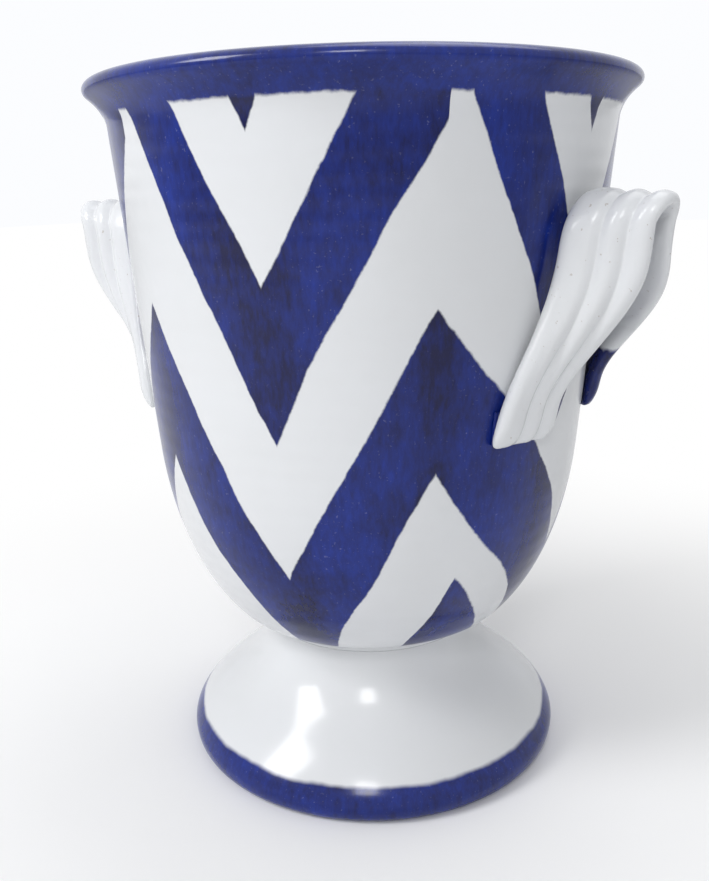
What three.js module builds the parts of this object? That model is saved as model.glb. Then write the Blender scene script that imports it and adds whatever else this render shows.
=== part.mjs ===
// A two-handled ceramic vase, in millimetres, +Z up, standing on z = 0 with its axis on Z.
// The bowl and the pedestal foot are thrown separately and luted together at the waist.
// Two ribbed strap handles are pressed onto the wall, each bent over in a narrow loop.
// The front is towards -Y. The handles are right (+X) and left (-X), set a little forward.
import * as THREE from 'three';
import { mergeVertices } from 'three/addons/utils/BufferGeometryUtils.js';

// Bowl
const vase_height = 280;
const lip_radius = 106.8;
const lip_roll_width = 11.8;
const lip_roll_height = 7.4;
const cove_top_drop = 5.8;
const cove_height = 10.2;
const wall_top_radius = 98.9;
const shoulder_radius = 88.6;
const shoulder_height = 141;
const turn_radius = 61;
const turn_height = 66;
const base_radius = 46;
const base_height = 61;
const wall_thickness = 6.5;
const floor_thickness = 8;
const floor_blend = 5;

// Foot
const foot_radius = 82.8;
const foot_edge_height = 6.5;
const ring_outer_radius = 77;
const ring_inner_radius = 69;
const foot_wall = 8;
const inflection_radius = 66;
const inflection_height = 26.3;
const neck_radius = 47;
const neck_straight = 5;

// Joint coil at the waist
const coil_width = 3.6;
const coil_height = 4.6;
const coil_lip = 0.7;

// Strap handles
const crest_angle = 78;
const strap_thickness = 6;
const groove_depth = 1.7;
const edge_rounding = 1.4;
const end_bevel = 2.4;
const root_end_height = 151.5;
const root_half_span = 37;
const rear_root_shift = 35;
const slant_low_height = 180;
const slant_high_height = 218;
const crest_height = 238.8;
const crest_drop_outside = 1.6;
const near_bend_radius = 15.5;
const far_bend_radius = 7;
const lift_start_height = 163;
const lift_end_height = 214;
const leg_standoff = 31;
const crest_lean = 2.5;

// Slip pads under the handle ends
const pad_thickness = 0.8;
const pad_height = 12;
const pad_inset = 0.1;

// Clearances and facets
const seat_gap = 0.3;
const turns = 48;
const leg_steps = 11;
const bend_steps = 5;

const lip_top = vase_height;
const degrees = Math.PI / 180;

function point(radius, height) {
  return new THREE.Vector2(radius, height);
}

function bezier(steps, ...corners) {
  const curve = corners.length === 4 ? new THREE.CubicBezierCurve(...corners)
    : new THREE.QuadraticBezierCurve(...corners);
  return curve.getPoints(steps);
}

// A run of points moved sideways by a distance, to the left of the way they run.
function offset(points, distance) {
  return points.map((here, i) => {
    const before = points[Math.max(i - 1, 0)];
    const after = points[Math.min(i + 1, points.length - 1)];
    const along = after.clone().sub(before).normalize();
    return point(here.x - along.y * distance, here.y + along.x * distance);
  });
}

// One closed skin with its shared corners merged and no flat triangles at the axis.
function closed(geometry) {
  geometry.deleteAttribute('normal');
  geometry.deleteAttribute('uv');
  const merged = mergeVertices(geometry, 1e-4);
  const old = merged.index.array;
  const kept = [];
  for (let i = 0; i < old.length; i += 3) {
    const [a, b, c] = [old[i], old[i + 1], old[i + 2]];
    if (a !== b && b !== c && c !== a) kept.push(a, b, c);
  }
  merged.setIndex(kept);
  merged.computeVertexNormals();
  return merged;
}

// A profile spun about the vase's axis.
function thrown(profile) {
  const geometry = new THREE.LatheGeometry(profile, turns);
  geometry.rotateX(Math.PI / 2);
  return closed(geometry);
}

function named(name, geometry, colour, roughness) {
  const material = new THREE.MeshStandardMaterial({ color: colour, roughness, metalness: 0 });
  const mesh = new THREE.Mesh(geometry, material);
  mesh.name = name;
  return mesh;
}

// Bowl: underside, belly, leaning wall, cove and rolled lip, then the inside at one wall's depth
const lip_middle = lip_top - lip_roll_height / 2;
const cove_top = point(lip_radius - 1.1, lip_top - cove_top_drop);
const cove_foot = point(wall_top_radius, cove_top.y - cove_height);
const underside = bezier(5, point(base_radius, base_height),
  point(base_radius + 6, base_height + 0.5), point(turn_radius - 3, turn_height - 3.1),
  point(turn_radius, turn_height));
const belly = bezier(11, point(turn_radius, turn_height),
  point(turn_radius + 14.5, turn_height + 15), point(shoulder_radius - 2.4, shoulder_height - 33),
  point(shoulder_radius, shoulder_height));
const wall = bezier(4, point(shoulder_radius, shoulder_height),
  point((shoulder_radius + wall_top_radius) / 2, (shoulder_height + cove_foot.y) / 2), cove_foot);
const cove = bezier(4, cove_foot, point(wall_top_radius + 1.3, cove_foot.y + 6), cove_top);
const lip = [];
const lip_start = -35;
const lip_steps = 9;
for (let i = 1; i <= lip_steps; i += 1) {
  const angle = (lip_start + (180 - lip_start) * i / lip_steps) * degrees;
  const across = lip_roll_width / 2;
  lip.push(point(lip_radius - across + across * Math.cos(angle),
    lip_middle + lip_roll_height / 2 * Math.sin(angle)));
}
const outside_wall = [...belly, ...wall.slice(1)];
const floor_height = base_height + floor_thickness;
const inside_wall = offset(outside_wall, wall_thickness)
  .filter((p) => p.y > floor_height + floor_blend);
const floor_turn = inside_wall[0].clone().sub(inside_wall[1]);
const floor_corner = inside_wall[0].clone()
  .addScaledVector(floor_turn, (floor_height - inside_wall[0].y) / floor_turn.y);
const floor_edge = point(floor_corner.x - 2 * floor_blend, floor_height);
const floor_bend = bezier(4, inside_wall[0], floor_corner, floor_edge);
const bowl_profile = [point(0, base_height), ...underside, ...outside_wall.slice(1),
  ...cove.slice(1), ...lip, ...inside_wall.reverse(), ...floor_bend.slice(1),
  point(0, floor_height)];

// Foot: standing ring, rounded edge, swelling shoulder and a cove up to the neck, hollow below
const neck_top = base_height - seat_gap;
const neck_foot = neck_top - neck_straight;
const edge = bezier(4, point(ring_outer_radius, 0), point(foot_radius, 0),
  point(foot_radius, foot_edge_height));
const shoulder = bezier(9, point(foot_radius, foot_edge_height),
  point(foot_radius, foot_edge_height + 6), point(inflection_radius + 6.5, inflection_height - 5.3),
  point(inflection_radius, inflection_height));
const neck = bezier(7, point(inflection_radius, inflection_height),
  point(inflection_radius - 8, inflection_height + 6.6), point(neck_radius, neck_foot - 14),
  point(neck_radius, neck_foot));
const hollow_top = point(neck_radius - foot_wall, neck_top);
const hollow = offset([...shoulder, ...neck.slice(1)], foot_wall)
  .filter((p) => p.x < ring_inner_radius - 1 && p.y > 0);
const foot_profile = [point(ring_inner_radius, 0), ...edge, ...shoulder.slice(1),
  ...neck.slice(1), point(neck_radius, neck_top), hollow_top, ...hollow.reverse(),
  point(ring_inner_radius, 0)];

// Joint coil: a smoothed ring of clay in the corner between the neck and the underside
function undersideHeight(radius) {
  const i = underside.findIndex((p) => p.x > radius);
  const [low, high] = [underside[i - 1], underside[i]];
  return low.y + (high.y - low.y) * (radius - low.x) / (high.x - low.x);
}
const coil_inside = neck_radius + seat_gap;
const coil_outside = coil_inside + coil_width;
const coil_top_inside = undersideHeight(coil_inside) - seat_gap;
const coil_top_outside = undersideHeight(coil_outside) - seat_gap;
const coil_hollow = bezier(4, point(coil_inside + coil_lip, coil_top_inside - coil_height),
  point(coil_inside + coil_lip, coil_top_inside - coil_lip),
  point(coil_outside, coil_top_outside - coil_lip));
const coil_profile = [point(coil_inside, coil_top_inside - coil_height), ...coil_hollow,
  point(coil_outside, coil_top_outside), point(coil_inside, coil_top_inside),
  point(coil_inside, coil_top_inside - coil_height)];

// The wall's radius at a height, and a point at a distance off it, aside of the crest's angle
function wallRadius(height) {
  const found = outside_wall.findIndex((p) => p.y > height);
  const i = found < 1 ? outside_wall.length - 1 : found;
  const [low, high] = [outside_wall[i - 1], outside_wall[i]];
  return low.x + (high.x - low.x) * (height - low.y) / (high.y - low.y);
}
function offWall(aside, standoff, height) {
  const reach = wallRadius(height) + standoff;
  const angle = crest_angle * degrees + aside / reach;
  return new THREE.Vector3(reach * Math.sin(angle), -reach * Math.cos(angle), height);
}

// Middle of the strap, from the front root (stage 0) over the crest (1) to the rear root (2).
// Across is 0 at the near edge, which hugs the wall, and 1 at the far edge, which lifts off it.
const { lerp, smoothstep } = THREE.MathUtils;
const strap_standoff = 2 * seat_gap + pad_thickness + strap_thickness / 2;
const near_crest = crest_height - strap_thickness / 2;
const far_crest = near_crest - crest_drop_outside;
const leg_share = leg_steps / (leg_steps + bend_steps);
function rootSlant(height) {
  return rear_root_shift * (1 - smoothstep(height, slant_low_height, slant_high_height));
}
function strapPoint(stage, across) {
  const side = stage < 1 ? -1 : 1;
  const travelled = 1 - Math.abs(stage - 1);
  const up = Math.min(travelled / leg_share, 1);
  const bend = Math.max((travelled - leg_share) / (1 - leg_share), 0) * 90 * degrees;
  const near_aside = lerp(root_half_span, near_bend_radius, smoothstep(up, 0, 1));
  const near_height = lerp(root_end_height, near_crest - near_bend_radius, up)
    + near_bend_radius * Math.sin(bend);
  const far_height = lerp(root_end_height, far_crest - far_bend_radius, up)
    + far_bend_radius * Math.sin(bend);
  const height = lerp(near_height, far_height, across);
  const aside = lerp(near_aside, far_bend_radius, across) * Math.cos(bend);
  const lifted = smoothstep(far_height, lift_start_height, lift_end_height);
  const far_standoff = lerp(strap_standoff, leg_standoff, lifted)
    + crest_lean * Math.sin(bend);
  const slant = side > 0 ? rootSlant(height) : 0;
  return offWall(side * (aside + slant), lerp(strap_standoff, far_standoff, across), height);
}

// One closed skin through equal rings of points, with the first and last ring filled in
function skinned(rings, section, mirrored) {
  const around = section.length;
  const positions = rings.flat().flatMap((p) => [mirrored ? -p.x : p.x, p.y, p.z]);
  const faces = [];
  for (let ring = 0; ring + 1 < rings.length; ring += 1) {
    for (let i = 0; i < around; i += 1) {
      const next = (i + 1) % around;
      const here = ring * around;
      const there = here + around;
      faces.push([here + i, here + next, there + next], [here + i, there + next, there + i]);
    }
  }
  const last = (rings.length - 1) * around;
  for (const [a, b, c] of THREE.ShapeUtils.triangulateShape(section, [])) {
    faces.push([a, b, c], [last + c, last + b, last + a]);
  }
  const geometry = new THREE.BufferGeometry();
  geometry.setAttribute('position', new THREE.Float32BufferAttribute(positions, 3));
  geometry.setIndex(faces.flatMap(([a, b, c]) => (mirrored ? [a, c, b] : [a, b, c])));
  geometry.computeVertexNormals();
  return geometry;
}

// Strap section: three ribs with two grooves between them on the outer face, a plain inner face
const rib_steps = 10;
const first_groove = 4;
const second_groove = 7;
const strap_section = [];
for (let i = 0; i <= rib_steps; i += 1) {
  const grooved = i === first_groove || i === second_groove ? groove_depth : 0;
  const rounded = i === 0 || i === rib_steps ? edge_rounding : 0;
  strap_section.push(point(i / rib_steps, strap_thickness / 2 - grooved - rounded));
}
for (let i = rib_steps; i >= 0; i -= 2) {
  const rounded = i === 0 || i === rib_steps ? edge_rounding : 0;
  strap_section.push(point(i / rib_steps, rounded - strap_thickness / 2));
}
function strapRing(stage) {
  const nudge = 0.01;
  const stretch = Math.min(Math.max(stage, nudge), 2 - nudge);
  const bevel = stage === 0 || stage === 2 ? end_bevel : 0;
  return strap_section.map(({ x: across, y: thick }) => {
    const along = strapPoint(stretch + nudge, across).sub(strapPoint(stretch - nudge, across));
    const inner = Math.max(across - nudge, 0);
    const over = strapPoint(stage, inner + nudge).sub(strapPoint(stage, inner));
    const outward = over.cross(along).normalize();
    return strapPoint(stage, across).addScaledVector(outward, thick > 0 ? thick - bevel : thick);
  });
}
function handle(mirrored) {
  const steps = 2 * (leg_steps + bend_steps);
  const rings = [];
  for (let i = 0; i <= steps; i += 1) rings.push(strapRing(2 * i / steps));
  return skinned(rings, strap_section, mirrored);
}

// Lute: the thin pad of slip between the wall and one end of a strap, following the wall
function lute(side, mirrored) {
  const across_steps = 6;
  const rise_steps = 2;
  const section = [];
  for (let i = 0; i <= rise_steps; i += 1) section.push(point(i / rise_steps, 1));
  for (let i = rise_steps; i >= 0; i -= 1) section.push(point(i / rise_steps, 0));
  const rings = [];
  for (let step = 0; step <= across_steps; step += 1) {
    const share = side > 0 ? step / across_steps : 1 - step / across_steps;
    const across = lerp(pad_inset, 1 - pad_inset, share);
    rings.push(section.map(({ x: rise, y: outer }) => {
      const height = root_end_height + pad_height * (rise + pad_inset);
      const aside = lerp(root_half_span, far_bend_radius, across);
      const slant = side > 0 ? rear_root_shift : 0;
      return offWall(side * (aside + slant), seat_gap + pad_thickness * outer, height);
    }));
  }
  return skinned(rings, section, mirrored);
}

const glaze_white = '#dcdfe8';
const cobalt = '#22336b';
const clay = '#b9b2a6';
const group = new THREE.Group();
group.name = 'two_handled_vase';
group.add(
  named('bowl', thrown(bowl_profile), glaze_white, 0.22),
  named('foot', thrown(foot_profile), cobalt, 0.24),
  named('foot_joint_coil', thrown(coil_profile), clay, 0.6),
  named('handle_right', handle(false), glaze_white, 0.3),
  named('handle_left', handle(true), glaze_white, 0.3),
  named('handle_right_front_lute', lute(-1, false), clay, 0.6),
  named('handle_right_rear_lute', lute(1, false), clay, 0.6),
  named('handle_left_front_lute', lute(-1, true), clay, 0.6),
  named('handle_left_rear_lute', lute(1, true), clay, 0.6),
);

export default group;
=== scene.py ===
import math

import bmesh
import bpy
from mathutils import Matrix, Vector


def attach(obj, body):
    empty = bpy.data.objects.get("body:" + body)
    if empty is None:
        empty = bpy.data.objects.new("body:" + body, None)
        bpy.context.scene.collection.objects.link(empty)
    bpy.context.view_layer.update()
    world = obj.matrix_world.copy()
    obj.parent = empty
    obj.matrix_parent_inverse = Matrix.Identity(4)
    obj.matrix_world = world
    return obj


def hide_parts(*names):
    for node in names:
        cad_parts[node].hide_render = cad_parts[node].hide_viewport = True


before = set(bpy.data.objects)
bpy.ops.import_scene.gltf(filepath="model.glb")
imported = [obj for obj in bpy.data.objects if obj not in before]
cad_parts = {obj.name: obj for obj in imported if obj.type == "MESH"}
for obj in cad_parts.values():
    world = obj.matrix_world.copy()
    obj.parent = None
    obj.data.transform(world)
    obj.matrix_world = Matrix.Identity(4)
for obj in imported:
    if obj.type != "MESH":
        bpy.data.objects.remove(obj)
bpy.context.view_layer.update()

# Camera: a phone held about 38 cm away, a little above the middle of the vase and tilted down.
# It stands to the right of the vase's front, so the right handle shows its broad side.
camera_distance = 0.3801
camera_height = 0.2394
camera_turn = math.radians(28)
camera_tilt = math.radians(15.594)
camera_roll = math.radians(-1.3)
camera_swing = math.radians(-0.9)
lens_length = 36.78
forward = Vector((math.sin(camera_swing) * math.cos(camera_tilt),
                  math.cos(camera_swing) * math.cos(camera_tilt), -math.sin(camera_tilt)))
level = Vector((math.cos(camera_swing), -math.sin(camera_swing), 0))
upright = level.cross(forward)
to_right = math.cos(camera_roll) * level + math.sin(camera_roll) * upright
to_top = math.cos(camera_roll) * upright - math.sin(camera_roll) * level
turn = Matrix((to_right, to_top, -forward)).transposed().to_4x4()
camera = bpy.data.objects.new("camera", bpy.data.cameras.new("camera"))
camera.data.lens = lens_length
around_vase = Matrix.Rotation(camera_turn, 4, "Z")
camera.matrix_world = around_vase @ Matrix.Translation((0, -camera_distance, camera_height)) @ turn
bpy.context.collection.objects.link(camera)
bpy.context.scene.camera = camera


# Bowl: thrown in one piece, with a rolled lip over a cove, a leaning wall and a deep round belly.
# White glaze over the clay, painted with a cobalt zigzag in two bands of broad brush strokes.
mm = 0.001
object_places = 3


class Value:
    """A number that varies over a surface: arithmetic on it adds Math nodes."""

    def __init__(self, tree, socket):
        self.tree = tree
        self.socket = socket

    def node(self, kind, settings=None, output=0, **values):
        made = self.tree.nodes.new(kind)
        for name, setting in (settings or {}).items():
            setattr(made, name, setting)
        for name, value in values.items():
            place = int(name[1:]) if name[0] == "i" and name[1:].isdigit() else name.replace("_", " ")
            socket = made.inputs[place]
            if isinstance(value, Value):
                self.tree.links.new(value.socket, socket)
            else:
                socket.default_value = value
        return Value(self.tree, made.outputs[output])

    def maths(self, operation, *values):
        inputs = {f"i{place}": value for place, value in enumerate((self, *values))}
        return self.node("ShaderNodeMath", {"operation": operation}, **inputs)

    def __add__(self, other):
        return self.maths("ADD", other)

    __radd__ = __add__

    def __mul__(self, other):
        return self.maths("MULTIPLY", other)

    __rmul__ = __mul__

    def __sub__(self, other):
        return self.maths("SUBTRACT", other)

    def __rsub__(self, other):
        return (self * -1) + other

    def __truediv__(self, other):
        return self.maths("DIVIDE", other)

    def above(self, edge, softness):
        """1 where this is over the edge, with a soft step between."""
        return self.node("ShaderNodeMapRange", {"interpolation_type": "SMOOTHSTEP"},
                         Value=self - edge, From_Min=-softness, From_Max=softness)

    def noise(self, scale, detail=3, rough=0.5):
        return self.node("ShaderNodeTexNoise", Vector=self, Scale=scale, Detail=detail,
                         Roughness=rough)


coat_weight = 0.12
coat_roughness = 0.06
glaze_reflection = 0.32


def glaze(name, roughness):
    """A material with a glossy coat, and the places that its pattern is worked out from."""
    material = bpy.data.materials.new(name)
    material.use_nodes = True
    tree = material.node_tree
    shader = tree.nodes["Principled BSDF"]
    shader.inputs["Base Color"].default_value = (*glaze_white, 1)
    shader.inputs["Roughness"].default_value = roughness
    shader.inputs["Coat Weight"].default_value = coat_weight
    shader.inputs["Specular IOR Level"].default_value = glaze_reflection
    shader.inputs["Coat Roughness"].default_value = coat_roughness
    place = Value(tree, None).node("ShaderNodeTexCoord", output=object_places)
    return material, tree, shader, place


def parts_of(tree, place):
    """The three numbers of a place: across, back and up, in metres."""
    split = place.node("ShaderNodeSeparateXYZ", Vector=place).socket.node
    return (Value(tree, split.outputs[i]) for i in range(3))


def finished(tree, shader, colour, height, strength=0.25):
    """Join a colour and a surface height to the shader."""
    tree.links.new(colour.socket, shader.inputs["Base Color"])
    bump = height.node("ShaderNodeBump", Height=height, Strength=strength, Distance=mm)
    tree.links.new(bump.socket, shader.inputs["Normal"])


def blended(mask, first, second):
    """First colour where the mask is 0 and second where it is 1."""
    made = mask.tree.nodes.new("ShaderNodeMix")
    made.data_type = "RGBA"
    mask.tree.links.new(mask.socket, made.inputs["Factor"])
    for place, colour in ((6, first), (7, second)):
        if isinstance(colour, Value):
            mask.tree.links.new(colour.socket, made.inputs[place])
        else:
            made.inputs[place].default_value = (*colour, 1)
    return Value(mask.tree, made.outputs[2])


glaze_white = (0.71, 0.725, 0.75)
glaze_warm = (0.66, 0.67, 0.68)
cobalt_mid = (0.004, 0.022, 0.23)
cobalt_dark = (0.001, 0.002, 0.045)
streak_strength = 1.5
cloud_strength = 1.4
usual_depth = 0.42
pooled_depth = 0.45
speckle_strength = 0.14
# The zigzag's places are degrees round the vase and millimetres of height. A slope is
# millimetres of height for each degree.
zigzags = 5
tip_angle = 7.1
upper_tip = 156
upper_notch = 209
fall_slope = 3.45
rise_slope = 2.85
lower_slope = 2.8
lower_edge = 43
lower_notch = 101.5
leaf_top = 100
leaf_shift = 6.8
leaf_left_slope = 3.3
leaf_right_slope = 1.7
leaf_start_angle = 10
wide_turn = 11
wide_from = 62
wide_to = 160
drop_tip = 257.5
drop_slope = 4.2
lip_paint = 267
hand_wander = 9
hand_sway = 5
edge_raggedness = 2.6
brush_edge = 0.9
throwing_rings = 900
ring_depth = 0.1
paint_depth = 0.12
# The inside of the leaning wall, as a radius at the floor's height and its growth with height
inside_radius = 73.4
inside_lean = 0.082
belly_top = 141


def brushed_blue(place, mask, pooled):
    """White glaze with cobalt strokes where the mask is 1, darker where they overlap."""
    stretched = place.node("ShaderNodeMapping", {"vector_type": "POINT"}, Vector=place,
                           Scale=(1, 1, 0.3))
    streaks = stretched.noise(420, 4, 0.7)
    clouds = place.noise(38, 3, 0.6)
    shade = ((streaks - 0.5) * streak_strength + (clouds - 0.5) * cloud_strength + usual_depth
             + pooled * pooled_depth)
    depth = shade.node("ShaderNodeClamp", Value=shade)
    blue = blended(depth, cobalt_mid, cobalt_dark)
    speckle = place.noise(900, 2, 0.6).above(0.7, 0.05) * speckle_strength
    thin = (1 - depth) * speckle
    cover = mask * (1 - thin)
    white = blended(place.noise(22), glaze_white, glaze_warm)
    return blended(cover, white, blue)


def band_between(level, low, high):
    """1 between two levels, with a brushed edge at each."""
    return level.above(low, brush_edge) * (1 - level.above(high, brush_edge))


def by_side(turned, left, right):
    """One slope on the left of a turn's middle and another on its right."""
    return turned.above(0, 0.01) * (right - left) + left


painted_glaze, tree, shader, place = glaze("painted_white_glaze", 0.2)
x, y, z = parts_of(tree, place)
wander = (place.noise(26, 2) - 0.5) * hand_wander
ragged = (place.noise(210, 3, 0.65) - 0.5) * edge_raggedness
sway = (place.noise(17, 1) - 0.5) * hand_sway
angle = x.maths("ARCTAN2", y * -1) * (180 / math.pi) + sway
height = z / mm + wander + ragged
period = 360 / zigzags
turned = ((angle - tip_angle) / period + 0.5).maths("FLOORED_MODULO", 1) - 0.5
aside = turned.maths("ABSOLUTE") * period
upper = band_between(height - by_side(turned, fall_slope, rise_slope) * aside,
                     upper_tip, upper_notch)
# The lower band's second turn, under the right handle, is wider than the others.
widened = angle - (angle.above(wide_from, 20) - angle.above(wide_to, 30)) * wide_turn
lower_turned = ((widened - tip_angle) / period + 0.5).maths("FLOORED_MODULO", 1) - 0.5
lower_aside = lower_turned.maths("ABSOLUTE") * period
lower = band_between(height - lower_slope * lower_aside, lower_edge, lower_notch)
leaf_turned = ((angle - tip_angle - leaf_shift) / period).maths("FLOORED_MODULO", 1) - 0.5
leaf_slope = by_side(leaf_turned, leaf_left_slope, leaf_right_slope)
leaf_aside = leaf_turned.maths("ABSOLUTE")
leaf = 1 - (height + leaf_slope * leaf_aside * period).above(leaf_top, brush_edge)
leaf = leaf * angle.above(leaf_start_angle, 2)
drop = (height - drop_slope * aside).above(drop_tip, brush_edge)
rim = (z / mm + ragged * 0.7).above(lip_paint, 0.7)
strokes = upper.maths("MAXIMUM", lower).maths("MAXIMUM", leaf).maths("MAXIMUM", drop)
# The strokes are on the outside only: the inside of the wall stays white below the lip.
reach = (x * x + y * y).maths("SQRT") / mm
wall_inside = 1 - (reach - (z / mm) * inside_lean).above(inside_radius, 0.4)
high_up = z.above(belly_top * mm, 0.5 * mm)
painted = strokes * (1 - wall_inside * high_up)
both = painted.maths("MAXIMUM", rim)
overlap = (1 - aside.above(7, 4)) + aside.above(period / 2 - 4, 3)
colour = brushed_blue(place, both, overlap * 0.8 * (1 - rim) - rim * 0.1)
rings = (z * throwing_rings + place.noise(14) * 3).maths("SINE") * ring_depth
surface = rings + place.noise(70, 3) * 0.8 + both * paint_depth
finished(tree, shader, colour, surface)


def curve(steps, *corners):
    """Points along a curve with three or four corners, the first left out."""
    points = []
    for step in range(1, steps + 1):
        share = step / steps
        level_points = [Vector(corner) for corner in corners]
        while len(level_points) > 1:
            level_points = [a.lerp(b, share) for a, b in zip(level_points, level_points[1:])]
        points.append(level_points[0])
    return points


def thrown(name, profile, closed_profile):
    """A profile, as radius and height in millimetres, spun about the axis of the vase."""
    body = bmesh.new()
    verts = [body.verts.new((p[0] * mm, 0, p[1] * mm)) for p in profile]
    pairs = list(zip(verts, verts[1:]))
    if closed_profile:
        pairs.append((verts[-1], verts[0]))
    edges = [body.edges.new(pair) for pair in pairs]
    bmesh.ops.spin(body, geom=verts + edges, cent=(0, 0, 0), axis=(0, 0, 1),
                   angle=math.tau, steps=spin_steps, use_merge=True)
    bmesh.ops.remove_doubles(body, verts=body.verts, dist=0.01 * mm)
    bmesh.ops.recalc_face_normals(body, faces=body.faces)
    mesh = bpy.data.meshes.new(name)
    body.to_mesh(mesh)
    body.free()
    mesh.shade_smooth()
    piece = bpy.data.objects.new(name, mesh)
    bpy.context.collection.objects.link(piece)
    return piece


def wall_depth(points, thickness):
    """The inside of a wall: its outside points moved in by a thickness, without the two ends."""
    moved = []
    for before, here, after in zip(points, points[1:], points[2:]):
        along = (after - before).normalized()
        moved.append(here + thickness * Vector((-along.y, along.x)))
    return moved


spin_steps = 240
base_point = (46, 61)
turn_point = (61, 66)
shoulder_point = (88.6, belly_top)
wall_top = (98.9, 264)
cove_top = (105.7, 274.2)
wall_thickness = 6.5
floor_height = 69
floor_bend_height = 74
under = curve(8, base_point, (52, 61.5), (58, 62.9), turn_point)
outer = [Vector(turn_point)] + curve(24, turn_point, (75.5, 81), (86.2, 108), shoulder_point)
outer += curve(16, shoulder_point, (93.75, 202.5), wall_top)
cove = curve(8, wall_top, (100.2, 270), cove_top)
lip_middle = (100.9, 276.3)
lip_half_width = 5.9
lip_half_height = 3.7
lip_start = -35
lip_steps = 20
lip = []
for step in range(1, lip_steps + 1):
    swept = math.radians(lip_start + (180 - lip_start) * step / lip_steps)
    lip.append(Vector((lip_middle[0] + lip_half_width * math.cos(swept),
                       lip_middle[1] + lip_half_height * math.sin(swept))))
inner = [point for point in wall_depth(outer, wall_thickness) if point.y > floor_bend_height]
floor_bend = curve(8, inner[0], (inner[0].x - 5.5, floor_height),
                   (inner[0].x - 16, floor_height))
bowl_profile = [(0, base_point[1]), base_point, *under, *outer[1:], *cove, *lip,
                *reversed(inner), *floor_bend, (0, floor_height)]
bowl = thrown("bowl_painted", bowl_profile, False)
bowl.data.materials.append(painted_glaze)
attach(bowl, "root")
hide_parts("bowl")


# Pedestal foot: thrown as a flared ring, hollow below, and luted under the bowl.
# White up its sweep, with a cobalt band around its thick rolled edge.
band_height = 14.4
band_raggedness = 2.2
foot_wall = 8
ring_inner = (69, 0)
ring_outer = (77, 0)
banded_glaze, tree, shader, place = glaze("banded_white_glaze", 0.18)
_, _, z = parts_of(tree, place)
ragged = (place.noise(60, 3) - 0.5) * band_raggedness
band = 1 - (z / mm + ragged).above(band_height, brush_edge)
surface = place.noise(60, 3) * 0.5 + band * paint_depth
finished(tree, shader, brushed_blue(place, band, band * -0.1), surface)
edge_point = (82.8, 6.5)
sweep_point = (66, 26.3)
neck_point = (47, 55.7)
neck_top = 60.7
foot_edge = curve(10, ring_outer, (edge_point[0], 0), edge_point)
foot_outer = curve(20, edge_point, (82.8, 12.5), (72.5, 21), sweep_point)
foot_outer += curve(18, sweep_point, (58, 32.9), (47, 41.7), neck_point)
foot_inner = [point for point in wall_depth(foot_outer, foot_wall)
              if point.x < ring_inner[0] - 1 and point.y > 0]
foot_profile = [ring_inner, ring_outer, *foot_edge, *foot_outer, (neck_point[0], neck_top),
                (neck_point[0] - foot_wall, neck_top), *reversed(foot_inner)]
foot = thrown("foot_painted", foot_profile, True)
foot.data.materials.append(banded_glaze)
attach(foot, "root")
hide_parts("foot")


# Joint coil: a thin roll of clay smoothed into the corner under the bowl and glazed over.
# It reaches a little into the neck and the underside, as fired clay does.
coil_profile = [(46.9, 55.9), *curve(8, (48, 56.2), (48, 60), (51.2, 60.9)), (51.2, 61.4),
                (46.9, 61.1)]
coil = thrown("joint_coil_glazed", coil_profile, True)
coil.data.materials.append(banded_glaze)
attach(coil, "root")
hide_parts("foot_joint_coil")


# Strap handles: pulled straps with three finger-drawn ribs, bent over and pressed on the wall.
# White glaze with small worn specks, and cobalt brushed over the end behind each handle; that cobalt
# is also darkened all over as painted shade.
daub_height = 176
daub_start = 6
daub_raggedness = 12
worn_clay = (0.35, 0.29, 0.24)
handle_glaze, tree, shader, place = glaze("handle_white_glaze", 0.24)
_, y, z = parts_of(tree, place)
ragged = (place.noise(90, 3) - 0.5) * daub_raggedness * mm
low_end = 1 - (z + ragged).above(daub_height * mm, mm)
behind = (y + ragged).above(daub_start * mm, mm)
surface = place.noise(110, 4) * 0.9
# The cobalt on the rear ends is real paint, darkened all over as painted shade where those ends face
# away from the lamps.
daub_with_painted_shade = brushed_blue(place, low_end * behind, low_end * 0.6)
worn = place.noise(420, 2, 0.7).above(0.71, 0.02) * 0.5
finished(tree, shader, blended(worn, daub_with_painted_shade, worn_clay), surface, 0.4)
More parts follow.
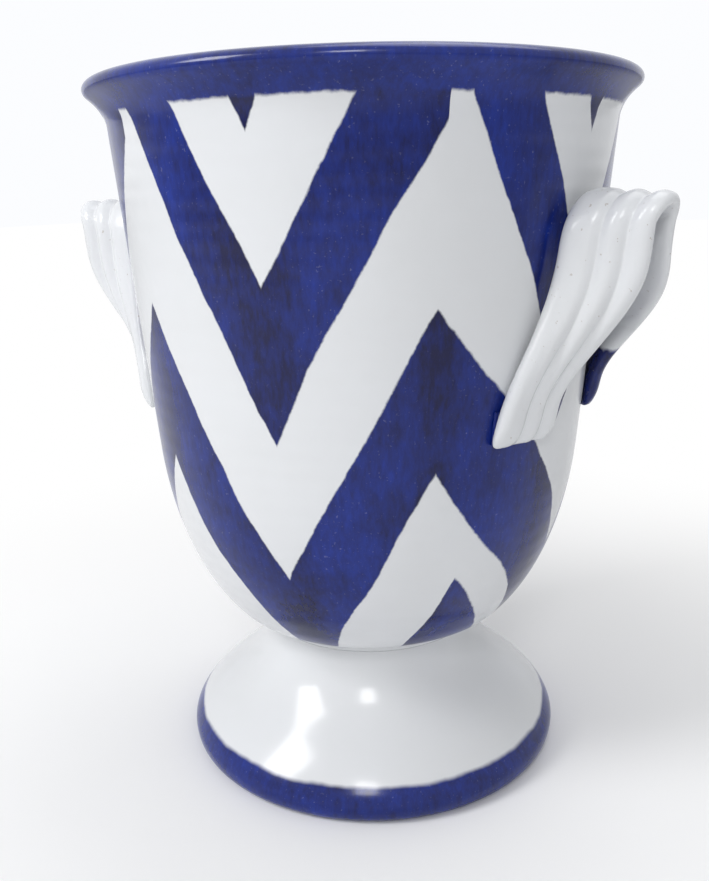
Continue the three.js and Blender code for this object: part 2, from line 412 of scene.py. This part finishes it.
# A strap's points near the wall are moved in to meet it. A fold deeper than groove_fold, in
# radians, is a groove between two ribs and stays sharp.
wall_sink = 2.2 * mm
sink_reach = 13 * mm
wall_lean = 0.0837
groove_fold = -0.3
groove_crease = 0.75
rounding_levels = 3
for side in ("right", "left"):
    source = bpy.data.objects[f"handle_{side}"]
    strap = bmesh.new()
    strap.from_mesh(source.data)
    bmesh.ops.remove_doubles(strap, verts=strap.verts, dist=0.001 * mm)
    bmesh.ops.join_triangles(strap, faces=strap.faces, angle_face_threshold=0.9,
                             angle_shape_threshold=1.4)
    for vert in strap.verts:
        reach = math.hypot(vert.co.x, vert.co.y)
        wall_reach = (shoulder_point[0] + (vert.co.z / mm - belly_top) * wall_lean) * mm
        near = max(0, 1 - (reach - wall_reach) / sink_reach)
        scale = 1 - wall_sink * near / reach
        vert.co.x *= scale
        vert.co.y *= scale
    bmesh.ops.recalc_face_normals(strap, faces=strap.faces)
    crease = strap.edges.layers.float.new("crease_edge")
    for edge in strap.edges:
        if edge.is_manifold and edge.calc_face_angle_signed() < groove_fold:
            edge[crease] = groove_crease
    mesh = bpy.data.meshes.new(f"handle_{side}_ribbed")
    strap.to_mesh(mesh)
    strap.free()
    mesh.shade_smooth()
    handle = bpy.data.objects.new(f"handle_{side}_ribbed", mesh)
    bpy.context.collection.objects.link(handle)
    rounding = handle.modifiers.new("rounding", "SUBSURF")
    rounding.levels = rounding_levels
    rounding.render_levels = rounding_levels
    mesh.materials.append(handle_glaze)
    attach(handle, "root")
    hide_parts(f"handle_{side}")
    # Lutes: the slip pads under both ends stay as the frame has them, glazed over.
    for end in ("front", "rear"):
        pad = bpy.data.objects[f"handle_{side}_{end}_lute"]
        pad.data.materials.clear()
        pad.data.materials.append(painted_glaze)

# Studio: a pale floor and a white surround, with two window-like lamps and a soft fill.
room = bpy.data.worlds.new("room")
room.use_nodes = True
bpy.context.scene.world = room
sky = room.node_tree
base = Value(sky, None)
paths = base.node("ShaderNodeLightPath").socket.node
seen = Value(sky, paths.outputs["Is Camera Ray"]).maths(
    "MAXIMUM", Value(sky, paths.outputs["Is Glossy Ray"])).maths(
    "MAXIMUM", Value(sky, paths.outputs["Is Transmission Ray"]))
background = sky.nodes["Background"]
background.inputs["Color"].default_value = (0.97, 0.98, 1, 1)
sky.links.new((seen * 0.55 + 0.45).socket, background.inputs["Strength"])
ground = bmesh.new()
bmesh.ops.create_grid(ground, x_segments=1, y_segments=1, size=6)
floor_mesh = bpy.data.meshes.new("floor")
ground.to_mesh(floor_mesh)
ground.free()
floor_piece = bpy.data.objects.new("floor", floor_mesh)
bpy.context.collection.objects.link(floor_piece)
pale = bpy.data.materials.new("pale_floor")
pale.use_nodes = True
tree = pale.node_tree
matt = tree.nodes["Principled BSDF"]
matt.inputs["Base Color"].default_value = (0.9, 0.9, 0.9, 1)
matt.inputs["Roughness"].default_value = 0.7
# The floor fades to plain white away from the foot, for the camera only.
fade_middle = 0.27
fade_half_width = 0.17
base = Value(tree, None)
spot = base.node("ShaderNodeTexCoord", output=object_places)
away = spot.node("ShaderNodeVectorMath", {"operation": "LENGTH"}, output=1, i0=spot)
camera_ray = base.node("ShaderNodeLightPath")
fade = away.above(fade_middle, fade_half_width) * camera_ray
white_light = base.node("ShaderNodeEmission", Color=(1, 1, 1, 1), Strength=1)
shown = base.node("ShaderNodeMixShader", i0=fade, i1=Value(tree, matt.outputs[0]),
                  i2=white_light)
tree.links.new(shown.socket, tree.nodes["Material Output"].inputs[0])
floor_mesh.materials.append(pale)
aim_height = 0.14
for name, spot, width, tall, power in (("window_left", (-0.75, -1.0, 1.15), 0.5, 0.7, 13),
                                       ("window_right", (0.55, -1.3, 1.2), 0.35, 0.5, 7),
                                       ("top_fill", (0.1, 0.5, 1.6), 1.0, 1.0, 6)):
    lamp = bpy.data.lights.new(name, "AREA")
    lamp.shape = "RECTANGLE"
    lamp.size = width
    lamp.size_y = tall
    lamp.energy = power
    holder = bpy.data.objects.new(name, lamp)
    aim = Vector((0, 0, aim_height)) - Vector(spot)
    facing = aim.to_track_quat("-Z", "Y").to_matrix().to_4x4()
    holder.matrix_world = Matrix.Translation(spot) @ facing
    bpy.context.collection.objects.link(holder)
bpy.context.scene.view_settings.view_transform = "Standard"
